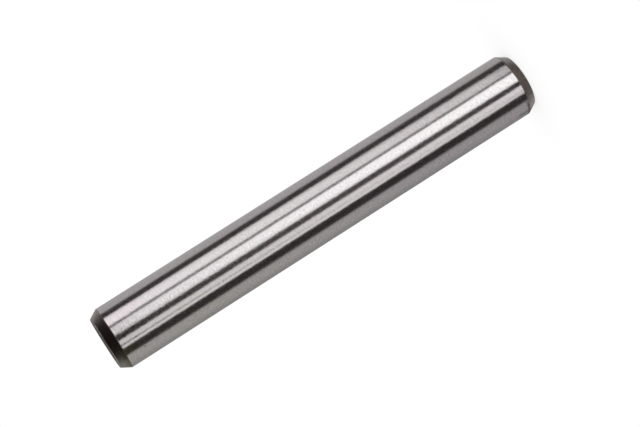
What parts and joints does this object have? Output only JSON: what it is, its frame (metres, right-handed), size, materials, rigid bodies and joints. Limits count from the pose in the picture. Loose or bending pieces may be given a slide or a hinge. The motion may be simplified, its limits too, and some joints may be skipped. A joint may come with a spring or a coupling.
{
  "type": "dowel pin",
  "caption": "Plain round dowel pin of hardened ground steel, with a chamfer on each end that leads it into its hole; it lines up two machine parts.",
  "frame": {"origin": "centre of the lower end face, on which the pin stands", "axes": "+Z along the pin's axis, from the lower end to the upper end; X and Y are alike, because the pin is round"},
  "size_m": [0.0096, 0.0096, 0.0698],
  "materials": {
    "ground_steel": "fine ground body, darker turned chamfers and end faces"
  },
  "bodies": {
    "root": {"dowel_pin": "ground_steel"}
  },
  "joints": []
}
